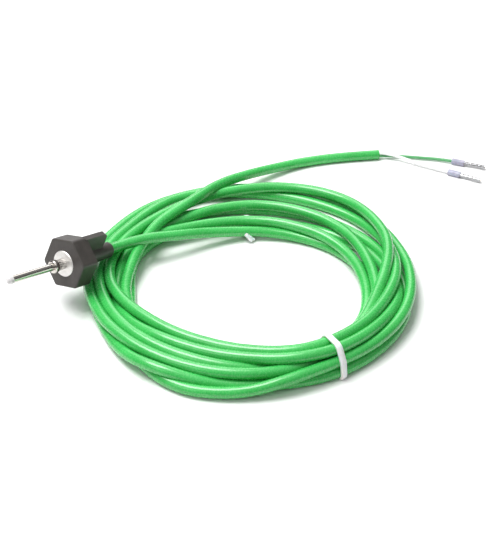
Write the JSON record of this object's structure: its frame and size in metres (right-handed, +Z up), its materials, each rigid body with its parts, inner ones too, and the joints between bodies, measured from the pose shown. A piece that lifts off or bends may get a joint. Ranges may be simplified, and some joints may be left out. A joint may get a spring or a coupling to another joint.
{
  "type": "flame sensor probe",
  "caption": "Thin steel probe with a ceramic tip in a black hexagonal grip with a fin and a boot, on a coiled green two-core lead with ferrules.",
  "frame": {"origin": "centre of the grip's front face, on the probe's axis", "axes": "+Z up from the surface that the coiled lead lies on, -X is the level direction that the tip points in; the probe's axis lies in the XZ plane, tipped up by 16 degrees towards the tip"},
  "size_m": [0.2235, 0.1357, 0.0298],
  "materials": {
    "polished_steel": "polished, with fine streaks along the tube",
    "crimped_steel": "crimped and slightly dull",
    "satin_steel": "turned, satin",
    "pale_ceramic": "glazed, nearly white",
    "white_ceramic": "matt sintered",
    "thermocouple_alloy": "drawn bare wire",
    "tinned_metal": "tinned, bright",
    "black_plastic": "moulded, fine texture",
    "seal_rubber": "smooth",
    "potting_resin": "cast",
    "green_sheath": "smooth extruded, semi-gloss",
    "green_core": "smooth extruded",
    "white_core": "smooth extruded",
    "lilac_plastic": "translucent look, smooth",
    "bare_strands": "stranded bare wire",
    "white_nylon": "moulded nylon"
  },
  "bodies": {
    "root": {"probe_tube": "polished_steel", "crimp_sleeve": "crimped_steel", "crimp_collar": "polished_steel", "face_plug": "satin_steel", "retaining_ring": "satin_steel", "clamp_ring": "satin_steel", "probe_tip": "pale_ceramic", "insulator_core": "white_ceramic", "hot_junction": "thermocouple_alloy", "thermo_wire_positive": "thermocouple_alloy", "thermo_wire_negative": "thermocouple_alloy", "splice_crimp_positive": "tinned_metal", "splice_crimp_negative": "tinned_metal", "grip_body": "black_plastic", "seal_ring": "seal_rubber", "potting_fill": "potting_resin", "sheath_root": "green_sheath", "cord_lead_in": "green_sheath", "cord_coil": "green_sheath", "cord_tail": "green_sheath", "core_end_positive": "green_core", "core_positive": "green_core", "core_end_negative": "white_core", "core_negative": "white_core", "ferrule_sleeve_positive": "lilac_plastic", "ferrule_sleeve_negative": "lilac_plastic", "ferrule_pin_positive": "tinned_metal", "ferrule_pin_negative": "tinned_metal", "ferrule_strands_positive": "bare_strands", "ferrule_strands_negative": "bare_strands", "cable_tie_front": "white_nylon", "cable_tie_rear": "white_nylon"}
  },
  "joints": []
}
